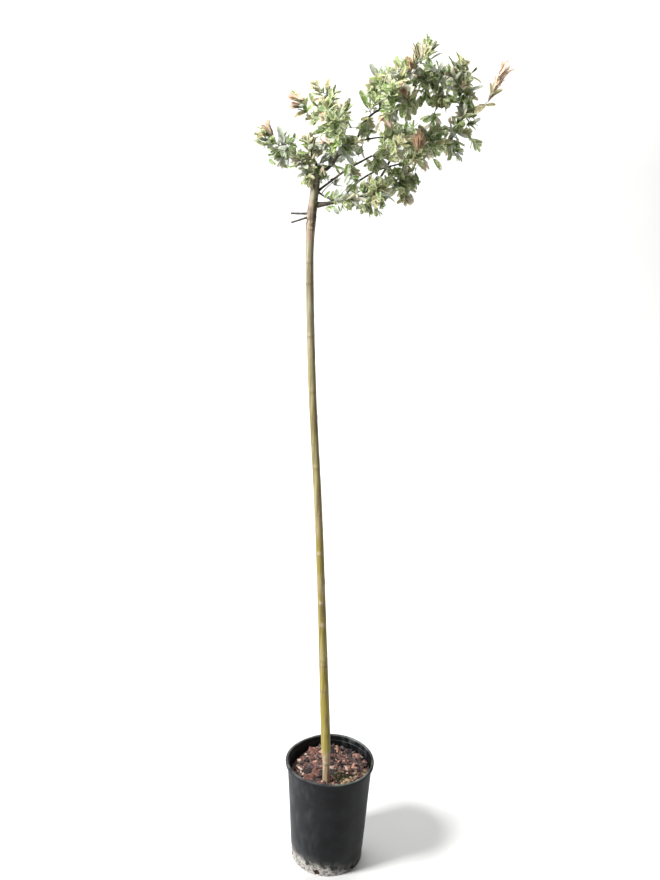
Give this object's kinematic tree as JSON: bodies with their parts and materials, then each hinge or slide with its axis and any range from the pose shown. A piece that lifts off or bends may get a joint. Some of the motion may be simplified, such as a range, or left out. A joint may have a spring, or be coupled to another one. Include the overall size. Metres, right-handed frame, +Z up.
{
  "type": "potted standard willow tree",
  "caption": "Young standard willow: a slim bare stem in a deep nursery pot, with a small open crown of twigs and narrow leaves that leans to one side.",
  "frame": {"origin": "centre of the pot's flat underside", "axes": "+Z up along the stem, +X towards the side that the open crown leans out to, -Y towards the side of the pot where the stem stands"},
  "size_m": [0.4493, 0.2575, 1.6908],
  "materials": {
    "pot_plastic": "dusty black moulded plastic with white lime scale round the foot",
    "compost": "moist dark potting compost",
    "bark_chips": "red-brown bark chips with some moss",
    "stem_bark": "smooth olive yellow bark, grey-tan higher up",
    "bough_bark": "grey-brown twig bark",
    "foliage": "matt grey-green leaves with cream and peach-pink tips"
  },
  "bodies": {
    "root": {"pot": "pot_plastic", "compost": "compost", "bark_mulch": "bark_chips", "trunk": "stem_bark", "lowest_bough": "bough_bark", "middle_bough": "bough_bark", "upper_bough": "bough_bark", "left_bough": "bough_bark", "leader": "bough_bark", "curved_twig": "bough_bark", "back_bough": "bough_bark", "lowest_side_twig": "bough_bark", "low_twig": "bough_bark", "arch_bough": "bough_bark", "centre_twig": "bough_bark", "upper_stub": "bough_bark", "lower_stub": "bough_bark", "mass_lower_heart": "foliage", "mass_lower_left": "foliage", "mass_lower_right": "foliage", "mass_low_centre": "foliage", "mass_centre_low": "foliage", "mass_inner": "foliage", "mass_inner_left": "foliage", "mass_leader_low": "foliage", "mass_leader_top": "foliage", "mass_stem_side": "foliage", "mass_left_middle": "foliage", "mass_left_tip": "foliage", "mass_middle_left": "foliage", "mass_upper_left_heart": "foliage", "mass_upper_left_tip": "foliage", "mass_upper_left_crest": "foliage", "mass_centre_left_top": "foliage", "mass_centre_top": "foliage", "mass_crest_shoot": "foliage", "mass_link": "foliage", "mass_pink_pair": "foliage", "mass_hanging": "foliage", "mass_centre": "foliage", "mass_centre_right": "foliage", "mass_droop_right": "foliage", "mass_ring_right": "foliage", "mass_ring_left": "foliage", "mass_right_side": "foliage", "mass_far_leaf": "foliage", "mass_arch_right": "foliage", "mass_arch_left": "foliage", "mass_arch_drop": "foliage", "mass_tip_shoot": "foliage", "mass_front_left": "foliage", "mass_front_top": "foliage", "mass_front_centre": "foliage", "mass_back_left": "foliage", "mass_back_top": "foliage", "mass_back_arch": "foliage", "mass_back_centre": "foliage", "mass_back_right": "foliage", "mass_back_low": "foliage"}
  },
  "joints": []
}
